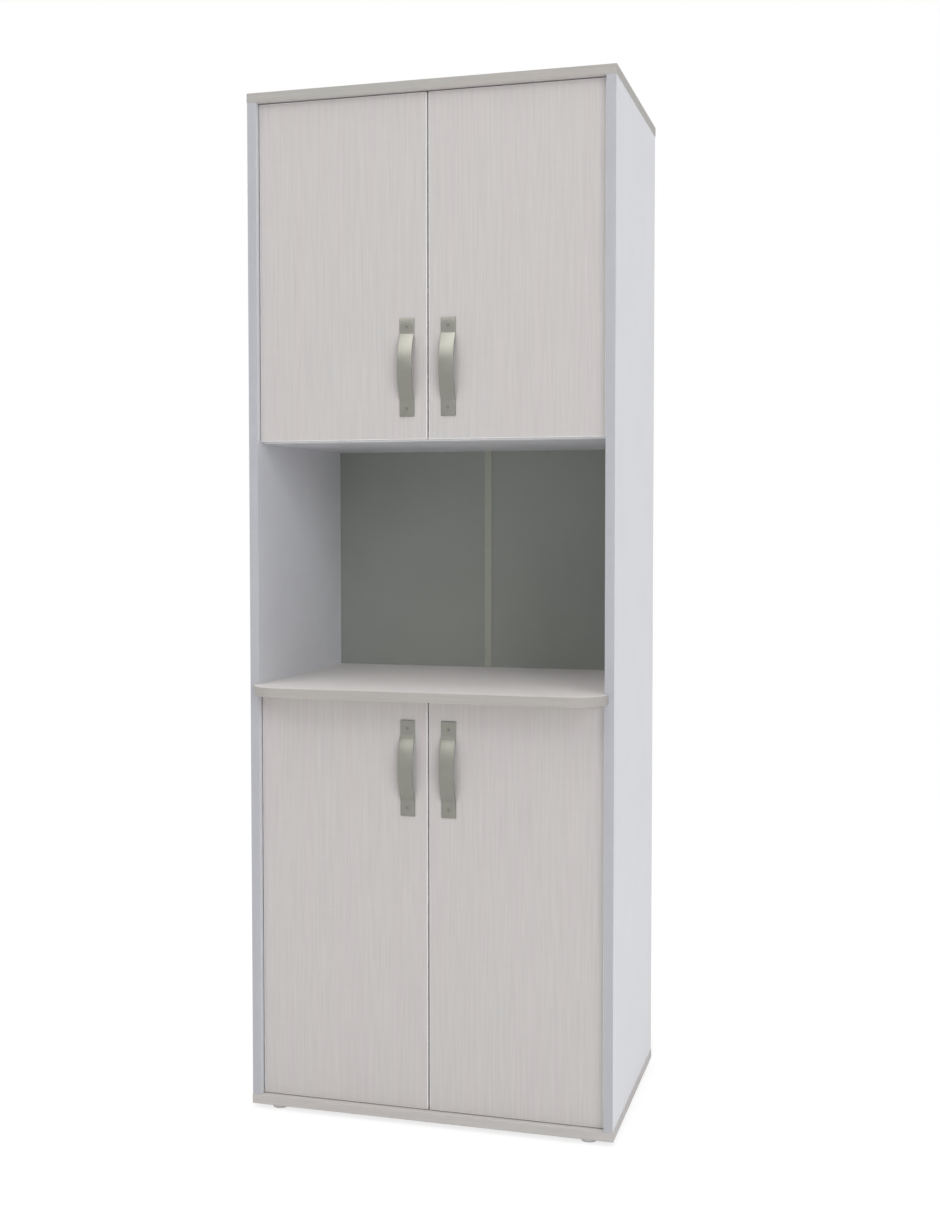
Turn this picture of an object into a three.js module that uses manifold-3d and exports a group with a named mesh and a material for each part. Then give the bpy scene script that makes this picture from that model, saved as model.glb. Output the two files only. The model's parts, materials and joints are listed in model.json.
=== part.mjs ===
// Microwave cabinet: a tall free-standing kitchen cupboard in melamine board.
// Two inset doors close the upper compartment and two close the lower one. Between them is an open
// niche, whose floor is a shelf that reaches out past the carcass with rounded corners.
// Millimetres. X to the right, Y to the back, Z up. The origin is under the middle of the whole
// object, on the surface that it stands on.
import * as THREE from 'three';
import { mergeVertices } from 'three/addons/utils/BufferGeometryUtils.js';
import Module from 'manifold-3d';

const wasm = await Module();
wasm.setup();

// ---------------------------------------------------------------- driving dimensions

// Carcass
const width = 600; // over the two side panels
const carcassHeight = 1646; // under the bottom panel to over the top panel
const depth = 390;
const board = 15;
const capOverhang = 0.75; // top and bottom panels past the side panels, each side
const lowerCompartmentHeight = 664;
const nicheHeight = 392;

// Back: two thin sheets in a rebate, joined by a strip of H section
const backSheet = 3;
const rebateWidth = 8;
const rebateDepth = 4.5;
const stripWidth = 13;
const stripFlange = 1;
const stripWeb = 1.5;

// Microwave shelf
const shelfReach = 51; // past the front of the side panels
const shelfEar = 5.5; // how far it laps over each side panel's front edge
const shelfCornerRadius = 56;

// Adjustable shelves
const looseShelfSetback = 60; // behind the front of the side panels
const looseShelfEndGap = 1;
const looseShelfRearGap = 3;

// Doors
const doorThickness = 15;
const doorSetback = 10.5; // front of the doors behind the front of the side panels
const doorHingeGap = 1.3;
const doorMeetingGap = 2.4;
const upperDoorHeadGap = 1.4;
const upperDoorLap = 13; // how far the upper doors cover the edge of the niche ceiling
const ceilingGap = 0.8; // between the back of the upper doors and that edge
const lowerDoorHeadGap = 2.5;
const lowerDoorFootGap = 1.2;

// Handles: a flat strap bent to a bow between two tabs
const handleLength = 154;
const handleScrewSpacing = 128;
const handleWidth = 24;
const handleStrap = 2;
const handleTab = 26;
const handleRise = 15; // finger room under the middle of the bow
const handleFromMeetingEdge = 32.8;
const upperHandleLevel = 113.5; // middle of the handle above the foot of the upper door
const lowerHandleLevel = 110.5; // middle of the handle below the head of the lower door

// Concealed hinges: where a door turns
const hingeFromDoorEnd = 100;
const pivotInset = 5; // door's pivot line, in from the side panel's inner face
const pivotSetback = 12; // and behind the front of the side panels

// Hinge cup, sunk in the back of the door
const cupRadius = 17.2;
const cupWall = 0.8;
const cupDepth = 11.6;
const cupEdgeDistance = 6.2; // door's edge to the edge of the cup's bore
const cupFlange = 1.2;
const cupRimRadius = 19;
const cupEarHalf = 6;
const cupScrewSpacing = 48;
const cupScrewOffset = 6;

// Hinge arm, clamped on its mounting plate
const knuckleInset = 17.2; // arm's knuckle, in from the door's pivot line
const knuckleSetback = 5.4; // and behind it
const knuckleRadius = 2.3;
const knuckleHeight = 6;
const tongueLength = 15.6; // from the knuckle back to the crank
const armSheet = 1.5;
const armWidth = 15;
const armLength = 40;
const armHeight = 12; // over the side panel's inner face
const armNeckWidth = 10;
const armFootGap = 1.1; // under the legs of the arm
const plateScrewFromDoor = 37; // behind the back of the door
const plateSheet = 2;
const plateScrewSpacing = 32;
const plateWingWidth = 14;
const plateRailInset = 3; // rail of the plate inside each end of the arm
const clampOffset = 9; // clamp screw behind the plate's own screws
const clampHeadHeight = 1.6;

// Hinge link, from the arm's knuckle to a sliding pin in the cup
const linkCheek = 1.5;
const linkStrap = 2.4;
const linkPinRadius = 1.2;
const linkHeel = 2; // from the pivot to the level stretch
const linkRun = 13.8; // from the pivot to where the link dips
const linkRise = 0.8;
const linkDip = 7; // from the level stretch down to the tip
const linkDipRun = 1.6;
const linkRestTurn = 20; // degrees that the link is turned when the door is shut

// Knock-down joints: cam lock, its bolt and a wooden dowel
const camRadius = 7.2;
const camLength = 12;
const camFromEnd = 34;
const boltRadius = 3;
const boltThreadRadius = 2.4;
const boltThreadLength = 10;
const dowelRadius = 4;
const dowelFootLength = 10; // in the board that takes the bolt
const dowelBodyLength = 20; // in the panel that has the cam
const jointFromEdge = 70; // from the front and from the back of each panel
const dowelFromBolt = 32;

// Shelf pins and their rows of holes
const pinRadius = 2.4;
const pinLength = 8.7; // the plug in the side panel
const pinCollarRadius = 3.4;
const pinCollar = 1;
const pegReach = 8; // under the shelf
const pinPitch = 32;
const spareHoleCount = 1; // above and below each hole in use
const pinFromShelfEdge = 40;

// Screws
const woodScrewHeadRadius = 3.2;
const woodScrewRadius = 1.6;
const woodScrewLength = 11;
const plateScrewHeadRadius = 4.5;
const plateScrewRadius = 2.8;
const plateScrewLength = 12;
const screwHeadRise = 0.4;

// Feet: plastic glides, each on one nail
const footRadius = 13;
const footHeight = 8;
const footEdge = 1.5;
const footFromSide = 41;
const footFromFront = 21;
const footFromBack = 40;
const footWell = 3; // depth of the well that hides the nail's head
const footNailRadius = 1.4;
const footNailHead = 3.6;
const footNailHeadHeight = 1.2;
const footNailGrip = 10; // in the bottom panel

// Fits
const seam = 0.3; // clearance round a piece that sits in a hole or pocket
const overlap = 0.5; // how far two shapes of one piece run into each other
const beyond = 10; // how far a cutter runs past what it cuts
const cupSides = 20;
const footSides = 16;
const roundSides = 12;
const smallSides = 8;
const screwSides = 6;

// ---------------------------------------------------------------- round fittings and their drillings

const cam = { radius: camRadius, length: camLength };
const boltThread = { radius: boltThreadRadius, length: boltThreadLength };
const dowelFoot = { radius: dowelRadius, length: dowelFootLength };
const dowelBody = { radius: dowelRadius, length: dowelBodyLength };
const pin = { radius: pinRadius, length: pinLength };
const woodScrew = { headRadius: woodScrewHeadRadius, radius: woodScrewRadius, length: woodScrewLength };
const plateScrew = {
  headRadius: plateScrewHeadRadius,
  radius: plateScrewRadius,
  length: plateScrewLength,
};

// ---------------------------------------------------------------- derived levels and planes

const outerHalf = width / 2;
const innerHalf = outerHalf - board;
const capHalf = outerHalf + capOverhang;
const carcassTop = footHeight + carcassHeight;
const bottomPanelTop = footHeight + board;
const topPanelUnderside = carcassTop - board;
const shelfUnderside = bottomPanelTop + lowerCompartmentHeight;
const shelfTop = shelfUnderside + board;
const ceilingUnderside = shelfTop + nicheHeight;
const ceilingTop = ceilingUnderside + board;
const backFront = depth - rebateDepth; // front face of the back sheets
const doorBack = doorSetback + doorThickness;
const cupCentreInset = doorHingeGap + cupEdgeDistance + cupRadius + seam;
const plateScrewSetback = doorBack + plateScrewFromDoor;
const pinColumns = {
  front: looseShelfSetback + pinFromShelfEdge,
  back: backFront - looseShelfRearGap - pinFromShelfEdge,
};

const sides = { left: -1, right: 1 };

function doorRow(foot, head, handleLevel) {
  const hingeLevels = { low: foot + hingeFromDoorEnd, high: head - hingeFromDoorEnd };
  return { foot, head, handleLevel, hingeLevels };
}

const upperDoorFoot = ceilingTop - upperDoorLap;
const lowerDoorHead = shelfUnderside - lowerDoorHeadGap;
const doorRows = {
  upper: doorRow(
    upperDoorFoot, topPanelUnderside - upperDoorHeadGap, upperDoorFoot + upperHandleLevel,
  ),
  lower: doorRow(
    bottomPanelTop + lowerDoorFootGap, lowerDoorHead, lowerDoorHead - lowerHandleLevel,
  ),
};
const looseShelfLevels = {
  upper: (ceilingTop + topPanelUnderside - board) / 2,
  lower: (bottomPanelTop + shelfUnderside - board) / 2,
};

// ---------------------------------------------------------------- materials

function finish(name, color, roughness, metalness) {
  return new THREE.MeshStandardMaterial({ name, color, roughness, metalness });
}

const white = finish('white_melamine', 0xd8d9df, 0.5, 0);
const taupe = finish('taupe_melamine', 0xb4b0ab, 0.55, 0);
const linen = finish('linen_melamine', 0xc8c5c2, 0.55, 0);
const sheet = finish('white_back_sheet', 0xd2d3d6, 0.6, 0);
const nickel = finish('satin_nickel', 0x9a9a8e, 0.35, 1);
const zinc = finish('zinc_steel', 0xb9bcc0, 0.35, 1);
const plastic = finish('white_plastic', 0xe2e2e0, 0.45, 0);

// ---------------------------------------------------------------- solids

function solidOf(geometry) {
  const bare = geometry.clone();
  bare.deleteAttribute('normal');
  bare.deleteAttribute('uv');
  const merged = mergeVertices(bare, 1e-4);
  const corners = merged.index.array;
  const kept = [];
  for (let i = 0; i < corners.length; i += 3) {
    const [a, b, c] = corners.subarray(i, i + 3);
    if (a !== b && b !== c && c !== a) {
      kept.push(a, b, c);
    }
  }
  return new wasm.Manifold(new wasm.Mesh({
    numProp: 3,
    vertProperties: new Float32Array(merged.attributes.position.array),
    triVerts: new Uint32Array(kept),
  }));
}

function geometryOf(solid) {
  const mesh = solid.getMesh();
  const geometry = new THREE.BufferGeometry();
  geometry.setAttribute('position', new THREE.BufferAttribute(mesh.vertProperties, 3));
  geometry.setIndex(new THREE.BufferAttribute(mesh.triVerts, 1));
  return geometry;
}

function cut(geometry, cutters) {
  const subtract = (rest, cutter) => rest.subtract(solidOf(cutter));
  return geometryOf(cutters.reduce(subtract, solidOf(geometry)));
}

function join(geometries) {
  return geometryOf(geometries.map(solidOf).reduce((whole, piece) => whole.add(piece)));
}

// A box between any two opposite corners.
function block([x1, y1, z1], [x2, y2, z2]) {
  const geometry = new THREE.BoxGeometry(Math.abs(x2 - x1), Math.abs(y2 - y1), Math.abs(z2 - z1));
  return geometry.translate((x1 + x2) / 2, (y1 + y2) / 2, (z1 + z2) / 2);
}

function at(x, y, z) {
  return new THREE.Vector3(x, y, z);
}

const back = at(0, 1, 0);
const forward = at(0, -1, 0);
const up = at(0, 0, 1);
const down = at(0, 0, -1);

// Moves a shape that stands on the origin along +Y to a new foot and direction.
function aim(geometry, foot, direction) {
  const turn = new THREE.Quaternion().setFromUnitVectors(back, direction);
  return geometry.applyQuaternion(turn).translate(foot.x, foot.y, foot.z);
}

function bar(radius, foot, direction, length, faces = roundSides) {
  const geometry = new THREE.CylinderGeometry(radius, radius, length, faces);
  return aim(geometry.translate(0, length / 2, 0), foot, direction);
}

// A turned piece: [radius, height] points from the axis round to the axis, lowest first.
function turned(profile, foot, direction, faces = roundSides) {
  const points = profile.map(([radius, height]) => new THREE.Vector2(radius, height));
  return aim(new THREE.LatheGeometry(points, faces), foot, direction);
}

// An outline in X and Y between two levels.
function slab(outline, bottom, top) {
  const shape = outline instanceof THREE.Shape ? outline : new THREE.Shape(outline);
  const geometry = new THREE.ExtrudeGeometry(shape, {
    depth: top - bottom,
    bevelEnabled: false,
    curveSegments: roundSides,
  });
  return geometry.translate(0, 0, bottom);
}

// A screw with a low domed head; foot is on the surface that it is driven into.
function screw({ headRadius, radius, length }, foot, direction) {
  const profile = [
    [0, -screwHeadRise],
    [headRadius / 2, -screwHeadRise],
    [headRadius, 0],
    [radius, 0],
    [radius, length],
    [0, length],
  ];
  return turned(profile, foot, direction, screwSides);
}

// A blind hole for a bar of this radius and length.
function drilling({ radius, length }, foot, direction) {
  return bar(radius + seam, foot, direction, length + seam, smallSides);
}

// X at a distance in from a side panel's inner face.
function inFrom(side, distance) {
  return side * (innerHalf - distance);
}

function outwards(side) {
  return at(side, 0, 0);
}

function inwards(side) {
  return at(-side, 0, 0);
}

// ---------------------------------------------------------------- scene graph

const cabinet = new THREE.Group();
cabinet.position.y = -(depth - shelfReach) / 2;

function addPiece(name, material, geometry) {
  const mesh = new THREE.Mesh(geometry, material);
  mesh.name = name;
  cabinet.add(mesh);
}

// ---------------------------------------------------------------- knock-down joints
// foot is where the bolt crosses the seam between two panels, inward runs into the panel that has
// the cam, face points out of the face that the cam is let into, along runs towards the dowel.

function panelJoints() {
  const list = [];
  const rows = [
    { y: jointFromEdge, along: back },
    { y: depth - jointFromEdge, along: forward },
  ];
  for (const [sideName, side] of Object.entries(sides)) {
    const sidePanel = `side_panel_${sideName}`;
    const inward = inwards(side);
    const sideMiddle = side * (innerHalf + board / 2);
    for (const { y, along } of rows) {
      list.push({
        camPanel: sidePanel, boltBoard: 'top_panel', along,
        foot: at(sideMiddle, y, topPanelUnderside), inward: down, face: inward,
      }, {
        camPanel: sidePanel, boltBoard: 'bottom_panel', along,
        foot: at(sideMiddle, y, bottomPanelTop), inward: up, face: inward,
      }, {
        camPanel: 'niche_ceiling_panel', boltBoard: sidePanel, along,
        foot: at(side * innerHalf, y, ceilingUnderside + board / 2), inward, face: up,
      }, {
        camPanel: 'microwave_shelf', boltBoard: sidePanel, along,
        foot: at(side * innerHalf, y, shelfUnderside + board / 2), inward, face: down,
      });
    }
  }
  return list;
}

// The drillings that a panel needs for its cam locks, their bolts and the dowels.
function jointHoles(panel) {
  const holes = [];
  for (const { camPanel, boltBoard, foot, inward, face, along } of panelJoints()) {
    const outward = inward.clone().negate();
    const camFace = foot.clone()
      .addScaledVector(inward, camFromEnd)
      .addScaledVector(face, board / 2);
    const dowelSeam = foot.clone().addScaledVector(along, dowelFromBolt);
    if (camPanel === panel) {
      holes.push(
        drilling(cam, camFace, face.clone().negate()),
        drilling({ radius: boltRadius, length: camFromEnd }, foot, inward),
        drilling(dowelBody, dowelSeam, inward),
      );
    }
    if (boltBoard === panel) {
      holes.push(
        drilling(boltThread, foot, outward),
        drilling(dowelFoot, dowelSeam, outward),
      );
    }
  }
  return holes;
}

// ---------------------------------------------------------------- shelf pins

function pinHoles(side) {
  const holes = [];
  for (const level of Object.values(looseShelfLevels)) {
    for (const y of Object.values(pinColumns)) {
      for (let step = -spareHoleCount; step <= spareHoleCount; step += 1) {
        const foot = at(side * innerHalf, y, level - pinCollarRadius - seam + step * pinPitch);
        holes.push(drilling(pin, foot, outwards(side)));
      }
    }
  }
  return holes;
}

// A plug in the side panel's hole, a collar against its face and a peg under the shelf.
function shelfPin(side, y, level) {
  const { radius, length } = pin;
  const pegStart = length + pinCollar;
  const profile = [
    [0, 0],
    [radius, 0],
    [radius, length],
    [pinCollarRadius, length],
    [pinCollarRadius, pegStart],
    [radius, pegStart],
    [radius, pegStart + pegReach],
    [0, pegStart + pegReach],
  ];
  const foot = at(inFrom(side, -length), y, level - pinCollarRadius - seam);
  return turned(profile, foot, inwards(side), smallSides);
}

// ---------------------------------------------------------------- feet

const footSpots = {
  front_left: at(footFromSide - outerHalf, footFromFront, 0),
  front_right: at(outerHalf - footFromSide, footFromFront, 0),
  back_left: at(footFromSide - outerHalf, depth - footFromBack, 0),
  back_right: at(outerHalf - footFromSide, depth - footFromBack, 0),
};

function foot(spot) {
  const pad = turned([
    [0, 0],
    [footRadius - footEdge, 0],
    [footRadius, footEdge],
    [footRadius, footHeight - footEdge],
    [footRadius - footEdge, footHeight],
    [0, footHeight],
  ], spot, up, footSides);
  const below = spot.clone().addScaledVector(down, beyond);
  return cut(pad, [
    bar(footNailHead + seam, below, up, beyond + footWell, smallSides),
    bar(footNailRadius + seam, below, up, beyond + footHeight + beyond, smallSides),
  ]);
}

function footNail(spot) {
  const tip = footHeight + footNailGrip;
  return turned([
    [0, footWell - footNailHeadHeight],
    [footNailHead, footWell - footNailHeadHeight],
    [footNailHead, footWell],
    [footNailRadius, footWell],
    [footNailRadius, tip],
    [0, tip],
  ], spot, up, smallSides);
}

// ---------------------------------------------------------------- carcass

function rebate() {
  return block(
    [-innerHalf - rebateWidth, backFront, bottomPanelTop - rebateWidth],
    [innerHalf + rebateWidth, depth + beyond, topPanelUnderside + rebateWidth],
  );
}

function plateScrewSpots(side, level) {
  return [-1, 1].map((end) => (
    at(inFrom(side, plateSheet), plateScrewSetback, level + end * plateScrewSpacing / 2)
  ));
}

function plateScrewHoles(side) {
  return Object.values(doorRows)
    .flatMap(({ hingeLevels }) => Object.values(hingeLevels))
    .flatMap((level) => plateScrewSpots(side, level))
    .map((spot) => drilling(plateScrew, spot, outwards(side)));
}

function sidePanel(sideName, side) {
  const panel = block(
    [side * innerHalf, 0, bottomPanelTop],
    [side * outerHalf, depth, topPanelUnderside],
  );
  return cut(panel, [
    rebate(),
    ...jointHoles(`side_panel_${sideName}`),
    ...pinHoles(side),
    ...plateScrewHoles(side),
  ]);
}

function capPanel(name, bottom) {
  const panel = block([-capHalf, 0, bottom], [capHalf, depth, bottom + board]);
  return cut(panel, [rebate(), ...jointHoles(name)]);
}

function bottomPanel() {
  const nailHoles = Object.values(footSpots).map((spot) => (
    drilling({ radius: footNailRadius, length: footHeight + footNailGrip }, spot, up)
  ));
  return cut(capPanel('bottom_panel', footHeight), nailHoles);
}

// Where the front flange of the back's strip runs past a fixed panel.
function stripNotch() {
  const half = stripWidth / 2 + seam;
  const front = backFront - seam - stripFlange - seam;
  return block([-half, front, bottomPanelTop], [half, depth, topPanelUnderside]);
}

function ceilingPanel() {
  const panel = block(
    [-innerHalf, doorBack + ceilingGap, ceilingUnderside],
    [innerHalf, backFront, ceilingTop],
  );
  return cut(panel, [stripNotch(), ...jointHoles('niche_ceiling_panel')]);
}

// Between the side panels at the back, lapping their front edges in front, and with a large arc
// at each front corner.
function shelfOutline() {
  const earHalf = innerHalf + shelfEar;
  const arcY = shelfCornerRadius - shelfReach;
  const arcX = earHalf - Math.sqrt(shelfCornerRadius ** 2 - (arcY + seam) ** 2);
  const earAngle = Math.atan2(-seam - arcY, earHalf - arcX);
  const shape = new THREE.Shape();
  shape.moveTo(-innerHalf, backFront);
  shape.lineTo(-innerHalf, -seam);
  shape.lineTo(-earHalf, -seam);
  shape.absarc(-arcX, arcY, shelfCornerRadius, Math.PI - earAngle, Math.PI * 3 / 2, false);
  shape.absarc(arcX, arcY, shelfCornerRadius, -Math.PI / 2, earAngle, false);
  shape.lineTo(innerHalf, -seam);
  shape.lineTo(innerHalf, backFront);
  return shape;
}

function microwaveShelf() {
  const panel = slab(shelfOutline(), shelfUnderside, shelfTop);
  return cut(panel, [stripNotch(), ...jointHoles('microwave_shelf')]);
}

function looseShelf(level) {
  const half = innerHalf - looseShelfEndGap;
  return block(
    [-half, looseShelfSetback, level],
    [half, backFront - looseShelfRearGap, level + board],
  );
}

function backPanel(side) {
  return block(
    [side * (stripWeb / 2 + seam), backFront, bottomPanelTop - rebateWidth + seam],
    [
      side * (innerHalf + rebateWidth - seam),
      backFront + backSheet,
      topPanelUnderside + rebateWidth - seam,
    ],
  );
}

// A flange in front of the back sheets, one behind them, and a web between their edges.
function backStrip() {
  const half = stripWidth / 2;
  const bottom = bottomPanelTop + seam;
  const top = topPanelUnderside - seam;
  const front = backFront - seam;
  const rear = backFront + backSheet + seam;
  return join([
    block([-half, front - stripFlange, bottom], [half, front, top]),
    block([-stripWeb / 2, front - overlap, bottom], [stripWeb / 2, rear + overlap, top]),
    block([-half, rear, bottom], [half, rear + stripFlange, top]),
  ]);
}

// ---------------------------------------------------------------- concealed hinges

function cupScrewSpots(side, level) {
  const x = inFrom(side, cupCentreInset + cupScrewOffset);
  return [-1, 1].map((end) => at(x, doorBack + cupFlange, level + end * cupScrewSpacing / 2));
}

// A can with a rim and two ears, with the two screws that hold it.
function hingeCup(side, level) {
  const middle = inFrom(side, cupCentreInset);
  const earMiddle = inFrom(side, cupCentreInset + cupScrewOffset);
  const earReach = cupScrewSpacing / 2 + cupEarHalf;
  const canFloor = at(middle, doorBack - cupDepth, level);
  const body = join([
    bar(cupRadius, canFloor, back, cupDepth + overlap, cupSides),
    bar(cupRimRadius, at(middle, doorBack, level), back, cupFlange, cupSides),
    block(
      [earMiddle - cupEarHalf, doorBack, level - earReach],
      [earMiddle + cupEarHalf, doorBack + cupFlange, level + earReach],
    ),
    ...cupScrewSpots(side, level).map((spot) => screw(woodScrew, spot, forward)),
  ]);
  const hollowFloor = at(middle, doorBack - cupDepth + cupWall, level);
  return cut(body, [bar(cupRadius - cupWall, hollowFloor, back, cupDepth + beyond, cupSides)]);
}

function hingeBores(side, level) {
  const floor = at(inFrom(side, cupCentreInset), doorBack - cupDepth - seam, level);
  return [
    bar(cupRadius + seam, floor, back, cupDepth + beyond, cupSides),
    ...cupScrewSpots(side, level).map((spot) => drilling(woodScrew, spot, forward)),
  ];
}

// An outline given as [inset from the side panel, setback from the carcass front] points.
function hingeSlab(side, points, level, half) {
  const outline = points.map(([inset, setback]) => new THREE.Vector2(inFrom(side, inset), setback));
  return slab(outline, level - half, level + half);
}

// A channel over the mounting plate, a cranked neck, and a knuckle that reaches into the cup.
// The plate's winged sheet, its rail and its screws are clamped to the channel as one piece.
function hingeArm(side, level) {
  const front = plateScrewSetback - armLength / 2;
  const rear = plateScrewSetback + armLength / 2;
  const roof = armHeight - armSheet;
  const legs = armWidth / 2 - armSheet;
  const knuckle = at(inFrom(side, pivotInset + knuckleInset), pivotSetback + knuckleSetback, level);
  const bore = knuckle.clone().addScaledVector(down, knuckleHeight);
  const tongueLow = pivotInset + knuckleInset - armSheet / 2;
  const tongueHigh = tongueLow + armSheet;
  const bend = knuckle.y + tongueLength;
  const railHalf = legs - seam;
  const wingHalf = plateWingWidth / 2;
  const wingReach = plateScrewSpacing / 2 + plateWingWidth / 2;
  const armHalf = armWidth / 2;
  const shell = block(
    [inFrom(side, armFootGap), front, level - armHalf],
    [inFrom(side, armHeight), rear, level + armHalf],
  );
  const hollow = block(
    [inFrom(side, -beyond), front - beyond, level - legs],
    [inFrom(side, roof), rear + beyond, level + legs],
  );
  const crank = [
    [roof, front + overlap],
    [roof, front],
    [tongueLow, bend],
    [tongueHigh, bend],
    [armHeight, front],
    [armHeight, front + overlap],
  ];
  const tongue = [
    [tongueLow, knuckle.y],
    [tongueHigh, knuckle.y],
    [tongueHigh, bend + overlap],
    [tongueLow, bend + overlap],
  ];
  const body = join([
    cut(shell, [hollow]),
    hingeSlab(side, crank, level, armNeckWidth / 2),
    hingeSlab(side, tongue, level, knuckleHeight / 2),
    bar(knuckleRadius, at(knuckle.x, knuckle.y, level - knuckleHeight / 2), up, knuckleHeight),
    block(
      [inFrom(side, 0), plateScrewSetback - wingHalf, level - wingReach],
      [inFrom(side, plateSheet), plateScrewSetback + wingHalf, level + wingReach],
    ),
    block(
      [inFrom(side, 0), front + plateRailInset, level - railHalf],
      [inFrom(side, roof + overlap), rear - plateRailInset, level + railHalf],
    ),
    bar(
      plateScrew.headRadius,
      at(inFrom(side, armHeight - overlap), plateScrewSetback + clampOffset, level),
      inwards(side),
      overlap + clampHeadHeight,
      smallSides,
    ),
    ...plateScrewSpots(side, level).map((spot) => screw(plateScrew, spot, outwards(side))),
  ]);
  return cut(body, [bar(linkPinRadius + seam, bore, up, knuckleHeight * 2, smallSides)]);
}

// Two cheeks beside the knuckle on its pin, and the sliding pin at their tips.
// With the door wide open the cheeks run level over the cup's rim and dip into it behind.
function hingeLink(side, level) {
  const half = linkStrap / 2;
  const turn = THREE.MathUtils.degToRad(linkRestTurn);
  const pivot = new THREE.Vector2();
  const place = ([run, rise]) => {
    const station = new THREE.Vector2(run, rise).rotateAround(pivot, turn);
    return [pivotInset + knuckleInset + station.x, pivotSetback + knuckleSetback + station.y];
  };
  const tip = [linkRun + linkDipRun, linkRise - linkDip];
  const cheek = [
    [-half, -half],
    [linkHeel, linkRise - half],
    [linkRun - half, linkRise - half],
    [tip[0] - half, tip[1] - half],
    [tip[0] + half, tip[1] - half],
    [linkRun + half, linkRise + half],
    [linkHeel, linkRise + half],
    [-half, half],
  ].map(place);
  const inner = knuckleHeight / 2 + seam;
  const outer = inner + linkCheek;
  const pinReach = inner + overlap;
  const pins = [[0, 0], tip].map(place).map(([inset, setback]) => {
    const pinFoot = at(inFrom(side, inset), setback, level - pinReach);
    return bar(linkPinRadius, pinFoot, up, 2 * pinReach, smallSides);
  });
  const cheeks = [-1, 1].map((end) => (
    hingeSlab(side, cheek, level + end * (inner + outer) / 2, linkCheek / 2)
  ));
  return join([...pins, ...cheeks]);
}

// ---------------------------------------------------------------- doors and handles

function handleScrewSpots(side, level) {
  const x = side * (doorMeetingGap / 2 + handleFromMeetingEdge);
  return [-1, 1].map((end) => (
    at(x, doorSetback - handleStrap, level + end * handleScrewSpacing / 2)
  ));
}

function door(side, { foot: doorFoot, head, handleLevel, hingeLevels }) {
  const panel = block(
    [side * doorMeetingGap / 2, doorSetback, doorFoot],
    [inFrom(side, doorHingeGap), doorBack, head],
  );
  return cut(panel, [
    ...Object.values(hingeLevels).flatMap((level) => hingeBores(side, level)),
    ...handleScrewSpots(side, handleLevel).map((spot) => drilling(woodScrew, spot, back)),
  ]);
}

// The strap is drawn on edge, X up the door and Y out of its front: two flat tabs, and a bow
// between them whose faces are arcs about one centre. Its two screws are part of the piece.
function handle(side, level) {
  const end = handleLength / 2;
  const bowHalf = end - handleTab;
  const innerRadius = (bowHalf ** 2 + handleRise ** 2) / (2 * handleRise);
  const outerRadius = innerRadius + handleStrap;
  const centre = handleRise - innerRadius;
  const innerStart = Math.atan2(-centre, bowHalf);
  const outerStart = Math.asin((handleStrap - centre) / outerRadius);
  const shape = new THREE.Shape();
  shape.moveTo(-end, 0);
  shape.lineTo(-bowHalf, 0);
  shape.absarc(0, centre, innerRadius, Math.PI - innerStart, innerStart, true);
  shape.lineTo(end, 0);
  shape.lineTo(end, handleStrap);
  shape.absarc(0, centre, outerRadius, outerStart, Math.PI - outerStart, false);
  shape.lineTo(-end, handleStrap);
  const strap = slab(shape, -handleWidth / 2, handleWidth / 2);
  strap.applyMatrix4(new THREE.Matrix4().makeBasis(up, forward, at(1, 0, 0)));
  strap.translate(side * (doorMeetingGap / 2 + handleFromMeetingEdge), doorSetback, level);
  return join([strap, ...handleScrewSpots(side, level).map((spot) => screw(woodScrew, spot, back))]);
}

// ---------------------------------------------------------------- assembly

addPiece('top_panel', taupe, capPanel('top_panel', topPanelUnderside));
addPiece('bottom_panel', taupe, bottomPanel());
addPiece('niche_ceiling_panel', white, ceilingPanel());
addPiece('microwave_shelf', taupe, microwaveShelf());
addPiece('back_joint_strip', plastic, backStrip());

for (const [spotName, spot] of Object.entries(footSpots)) {
  addPiece(`foot_${spotName}`, plastic, foot(spot));
  addPiece(`foot_nail_${spotName}`, zinc, footNail(spot));
}

for (const [rowName, level] of Object.entries(looseShelfLevels)) {
  addPiece(`${rowName}_shelf`, white, looseShelf(level));
}

for (const [sideName, side] of Object.entries(sides)) {
  addPiece(`side_panel_${sideName}`, white, sidePanel(sideName, side));
  addPiece(`back_panel_${sideName}`, sheet, backPanel(side));
  for (const [rowName, level] of Object.entries(looseShelfLevels)) {
    for (const [columnName, y] of Object.entries(pinColumns)) {
      addPiece(`shelf_pin_${rowName}_${sideName}_${columnName}`, zinc, shelfPin(side, y, level));
    }
  }
  for (const [rowName, row] of Object.entries(doorRows)) {
    const doorName = `${rowName}_${sideName}`;
    addPiece(`door_${doorName}`, linen, door(side, row));
    addPiece(`handle_${doorName}`, nickel, handle(side, row.handleLevel));
    for (const [levelName, level] of Object.entries(row.hingeLevels)) {
      addPiece(`hinge_cup_${doorName}_${levelName}`, zinc, hingeCup(side, level));
      addPiece(`hinge_arm_${doorName}_${levelName}`, zinc, hingeArm(side, level));
      addPiece(`hinge_link_${doorName}_${levelName}`, zinc, hingeLink(side, level));
    }
  }
}

const group = new THREE.Group();
group.add(cabinet);
export default group;
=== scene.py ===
# Looks of the microwave cabinet: melamine boards with edge bands and drillings, satin handles, and
# the hinges, cam locks, pins, feet and nails that hold it together.
# Shapes are drawn in the carcass frame: millimetres, X to the right, Y back from the front of the
# side panels, Z up. piece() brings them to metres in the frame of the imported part.
import json
from math import asin, cos, pi, radians, sin

import bmesh
import bpy
from mathutils import Matrix, Vector

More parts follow.
